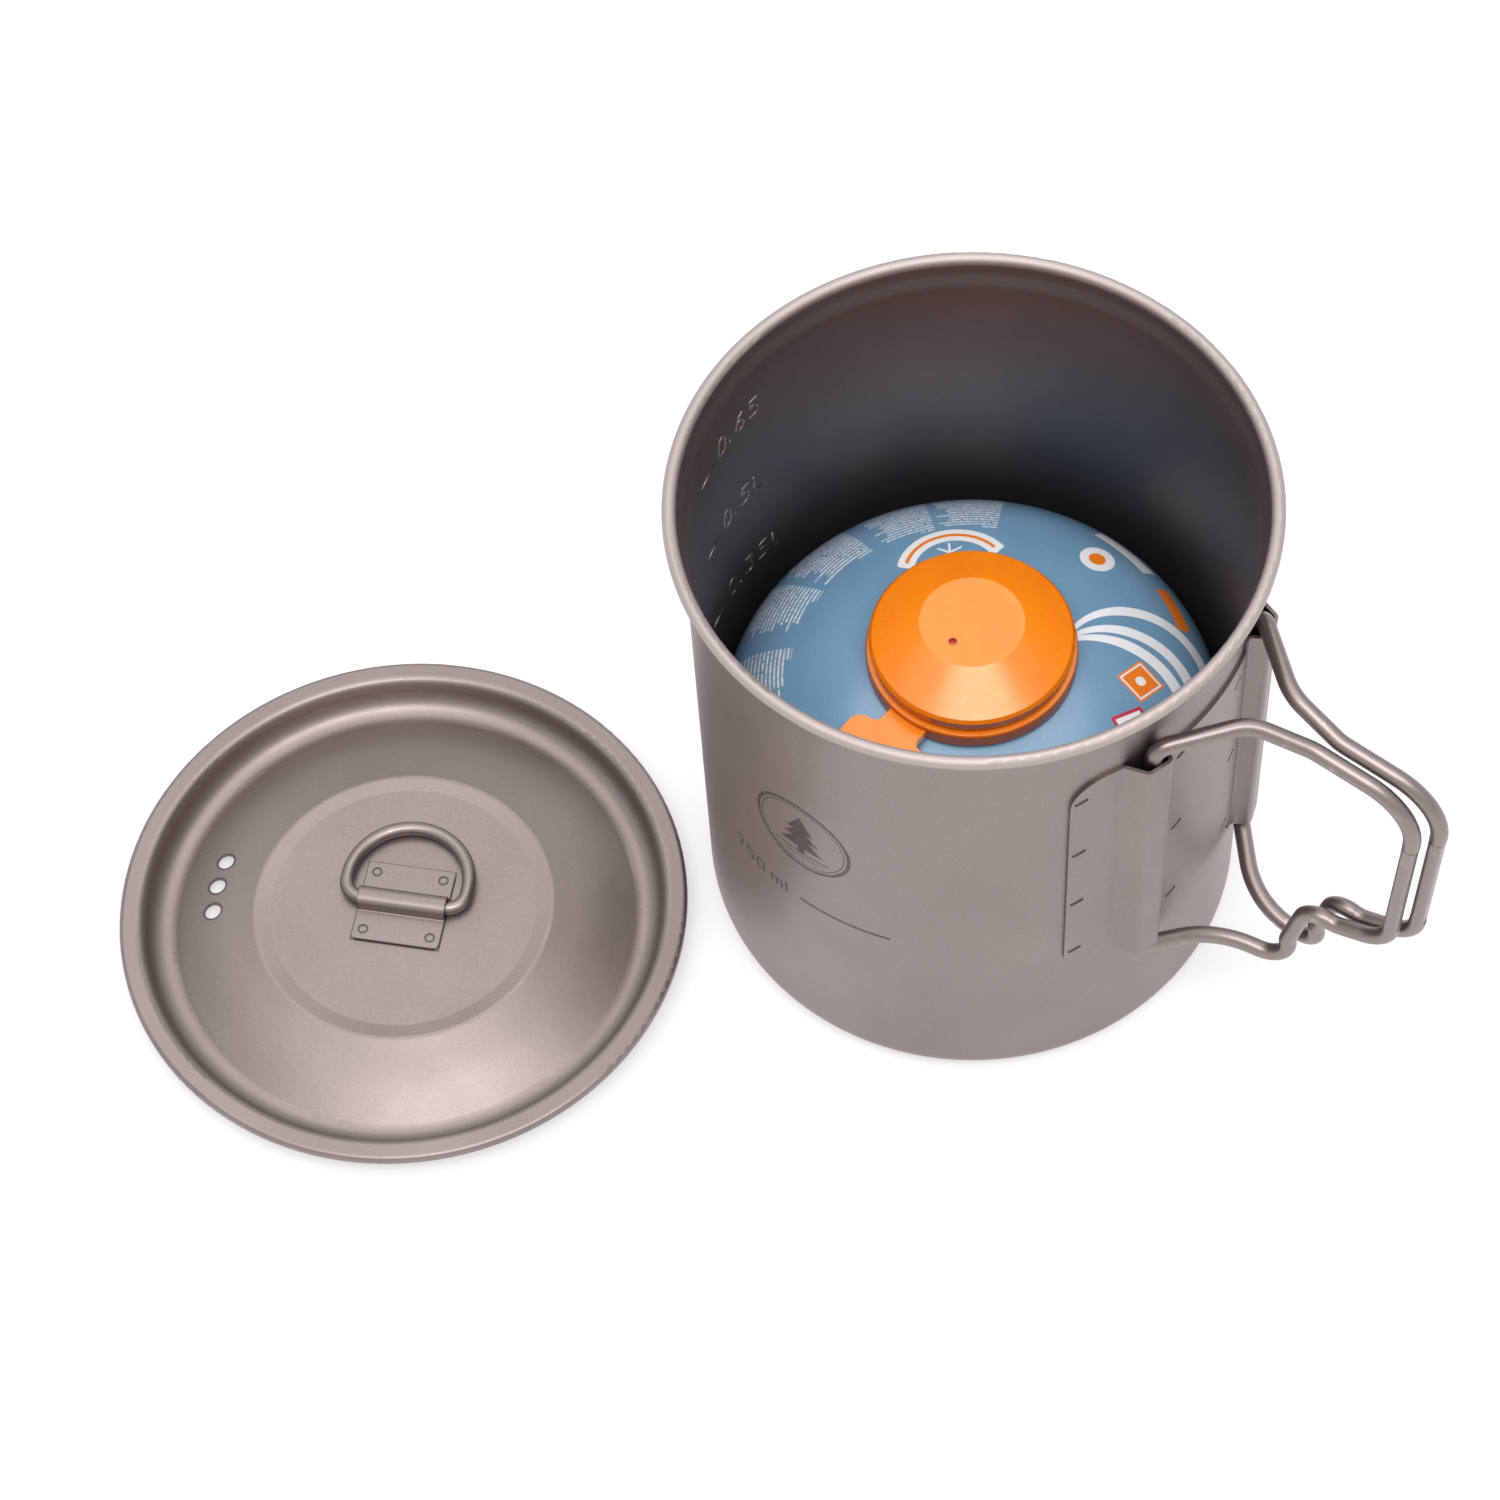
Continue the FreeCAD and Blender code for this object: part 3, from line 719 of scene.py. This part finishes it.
def add_mesh(name, points, faces, material):
    """Smooth mesh in metres, in the frame."""
    mesh = bpy.data.meshes.new(name)
    mesh.from_pydata([tuple(p) for p in points], [], faces)
    mesh.validate()
    mesh.update()
    mesh.polygons.foreach_set("use_smooth", [True] * len(mesh.polygons))
    made = bpy.data.objects.new(name, mesh)
    bpy.context.scene.collection.objects.link(made)
    made.data.materials.append(material)
    return made


# Graduations stamped inside the wall: stroke fonts are (x, y) runs in a cell 1 wide and 1.7 high
GLYPHS = {
    "0": [[(0.3, 0), (0, 0.35), (0, 1.35), (0.3, 1.7), (0.7, 1.7), (1, 1.35), (1, 0.35), (0.7, 0),
           (0.3, 0)]],
    "3": [[(0, 1.7), (1, 1.7), (0.45, 1.05), (0.8, 0.95), (1, 0.6), (0.8, 0.15), (0.45, 0), (0, 0.15)]],
    "5": [[(0.95, 1.7), (0.1, 1.7), (0.05, 1.0), (0.6, 1.05), (1, 0.75), (1, 0.35), (0.65, 0),
           (0, 0.05)]],
    "6": [[(0.9, 1.65), (0.3, 1.4), (0, 0.8), (0, 0.35), (0.35, 0), (0.7, 0), (1, 0.35), (1, 0.65),
           (0.7, 0.98), (0.3, 0.98), (0.02, 0.6)]],
    "L": [[(0, 1.7), (0, 0), (0.85, 0)]],
    ".": [[(0.0, 0.0), (0.02, 0.22)]],
}
GRADUATIONS = ((51.1, "0.35L"), (72.6, "0.5L"), (94.1, "0.65"))     # height and text
MARK_AZ = 160.0         # where each line starts; the numbers follow to the right
LINE_L = 5.4
GLYPH_W, GLYPH_H = 2.3, 4.4 / 1.7       # of one unit of a glyph's cell
GLYPH_GAP = 1.5
RIDGE_HALF_W, RIDGE_H = 0.27, 0.16
RIDGE_SIDES = 7
RIDGE_SINK = 0.02       # how far a ridge's edges lie inside the wall


def rounded(points, cut=0.22):
    """Corners of a run cut twice, so that the stamped strokes turn smoothly."""
    for _ in range(2):
        made = [points[0]]
        for a, b in zip(points, points[1:]):
            a, b = np.array(a, float), np.array(b, float)
            made += [tuple(a + (b - a) * cut), tuple(b - (b - a) * cut)]
        made.append(points[-1])
        points = made
    return points


def tube_faces(rings, sides):
    """Faces of a closed tube whose points run ring by ring."""
    faces = []
    for i in range(rings - 1):
        for k in range(sides):
            a, b = i * sides + k, i * sides + (k + 1) % sides
            faces.append((a, b, b + sides, a + sides))
    faces.append(tuple(range(sides))[::-1])
    faces.append(tuple((rings - 1) * sides + k for k in range(sides)))
    return faces


def on_wall(flat_point, lift):
    """Place in metres of (across, up) on the inside of the wall, raised towards the axis."""
    angle = math.radians(MARK_AZ) - flat_point[0] / POT_INSIDE_R
    reach = POT_INSIDE_R - lift
    return (reach * math.cos(angle) * MM, reach * math.sin(angle) * MM, flat_point[1] * MM)


def ridge(run):
    """Low rounded ridge along a run of (across, up) millimetres on the inside of the wall."""
    flat = [np.array(p, float) for p in run]
    rings = []
    for i, here in enumerate(flat):
        ahead = flat[min(i + 1, len(flat) - 1)] - flat[max(i - 1, 0)]
        ahead = ahead / (np.linalg.norm(ahead) + 1e-9)
        side = np.array((-ahead[1], ahead[0]))
        made = []
        for k in range(RIDGE_SIDES):
            turn = math.pi * k / (RIDGE_SIDES - 1)
            place = here + side * RIDGE_HALF_W * math.cos(turn)
            made.append((place, RIDGE_H * math.sin(turn) - RIDGE_SINK))
        rings.append(made)
    points = [on_wall(place, lift) for made in rings for place, lift in made]
    return points, tube_faces(len(rings), RIDGE_SIDES)


def graduations(material):
    """Three lines with their volumes, as raised strokes on the inside of the pot's wall."""
    points, faces = [], []
    for z, text in GRADUATIONS:
        runs = [[(0.0, z), (LINE_L, z)]]
        across = LINE_L + 2.2
        for letter in text:
            for run in GLYPHS[letter]:
                placed = [(across + x * GLYPH_W, z - 1.0 + y * GLYPH_H) for x, y in run]
                runs.append(rounded(placed) if len(run) > 3 else placed)
            across += 1.9 if letter == "." else GLYPH_W + GLYPH_GAP
        for run in runs:
            new_points, new_faces = ridge(run)
            shift = len(points)
            points += new_points
            faces += [tuple(i + shift for i in f) for f in new_faces]
    marks = add_mesh("graduation_marks", points, faces, material)
    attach(marks, "pot")


SPRING_WIRE_R = 0.28
SPRING_COIL_R = 2.3
SPRING_Z = (57.9, 66.2)     # housing floor and stem head
SPRING_TURNS = 5.5
SPRING_STEPS, SPRING_SIDES = 200, 10


def shortening_spring(material):
    """The valve's coil spring, as a fixed coil from the housing floor to the stem head, in place of the
    model's spring.
    """
    low, high = SPRING_Z[0] + SPRING_WIRE_R, SPRING_Z[1] - SPRING_WIRE_R
    points = []
    for i in range(SPRING_STEPS + 1):
        share = i / SPRING_STEPS
        turn = 2 * math.pi * SPRING_TURNS * share
        for k in range(SPRING_SIDES):
            around = -2 * math.pi * k / SPRING_SIDES
            reach = SPRING_COIL_R + SPRING_WIRE_R * math.cos(around)
            z = low + (high - low) * share + SPRING_WIRE_R * math.sin(around)
            points.append((reach * math.cos(turn) * MM, reach * math.sin(turn) * MM, z * MM))
    faces = tube_faces(SPRING_STEPS + 1, SPRING_SIDES)
    spring = add_mesh("valve_spring_coil", points, faces, material)
    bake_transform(spring)
    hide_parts("valve_spring")


# ---------------------------------------------------------------- studio

FLOOR_HALF = 3.0        # metres
FLOOR_TONES = (0.47, 0.47, 0.47), (0.50, 0.50, 0.50)
SKY_COLOUR, SKY_STRENGTH = (1.0, 0.995, 0.99, 1), 0.88

# Soft lights in metres and watts: name, place, what it points at, width, height and power
SOFTBOXES = (
    ("overhead_softbox", (-0.1, 0.33, 1.2), (-0.1, 0.33, 0), 1.5, 1.1, 6.0),
    ("front_softbox", (0.03, -0.5, 1.2), (0.0, 0, 0.05), 1.1, 0.42, 8.7),
)


def make_floor():
    """White paper that the set stands on."""
    mesh = bpy.data.meshes.new("floor")
    corners = [(x * FLOOR_HALF, y * FLOOR_HALF, 0) for x, y in ((-1, -1), (1, -1), (1, 1), (-1, 1))]
    mesh.from_pydata(corners, [], [(0, 1, 2, 3)])
    floor = bpy.data.objects.new("floor", mesh)
    bpy.context.scene.collection.objects.link(floor)
    made = Shader("floor_paper")
    tone = made.noise(60, detail=2).spread(0.3, 0.7)
    made.link(made.mix(tone, *FLOOR_TONES), "Base Color")
    made.set(Roughness=0.9, Specular_IOR_Level=0.1)
    made.set(Emission_Color=(1, 1, 1, 1), Emission_Strength=0.5)
    mesh.materials.append(made.material)


def area_light(name, place, target, width, height, power):
    data = bpy.data.lights.new(name, "AREA")
    data.shape = "RECTANGLE"
    data.size, data.size_y = width, height
    data.energy = power
    light = bpy.data.objects.new(name, data)
    light.location = place
    aim = Vector(target) - Vector(place)
    light.rotation_euler = aim.to_track_quat("-Z", "Y").to_euler()
    bpy.context.scene.collection.objects.link(light)


def make_lights():
    world = bpy.data.worlds.new("studio")
    bpy.context.scene.world = world
    world.use_nodes = True
    back = world.node_tree.nodes["Background"]
    back.inputs["Color"].default_value = SKY_COLOUR
    back.inputs["Strength"].default_value = SKY_STRENGTH
    for softbox in SOFTBOXES:
        area_light(*softbox)


# ---------------------------------------------------------------- build

bpy.context.scene.view_settings.view_transform = "Standard"
make_camera()
make_floor()
make_lights()

pot_metal = pot_material()
lid_metal = lid_material()
wire_metal = wire_material()
tinplate = steel_material()
steel_parts = plain_material("valve_steel", (0.48, 0.47, 0.45), (0.60, 0.59, 0.57), 1.0, 0.25)
rubber = plain_material("seal_rubber", (0.018, 0.018, 0.018), (0.03, 0.03, 0.03), 0.0, 0.6)
white_plastic = plain_material("valve_plastic", (0.62, 0.62, 0.60), (0.72, 0.72, 0.70), 0.0, 0.4)

for name, material in (
    ("pot_shell", pot_metal),
    ("handle_bracket", bracket_material()),
    ("front_handle_wire", wire_metal),
    ("rear_handle_wire", wire_metal),
    ("lid_shell", lid_metal),
    ("lid_ring_strap", lid_metal),
    ("lid_ring", wire_metal),
    ("canister_body", canister_material()),
    ("canister_base", tinplate),
    ("valve_cup", tinplate),
    ("cup_gasket", rubber),
    ("stem_gasket", rubber),
    ("valve_housing", white_plastic),
    ("valve_stem", steel_parts),
    ("valve_spring", steel_parts),
    ("valve_cap", cap_material()),
):
    paint_node(name, material)

graduations(marks_material())
shortening_spring(steel_parts)
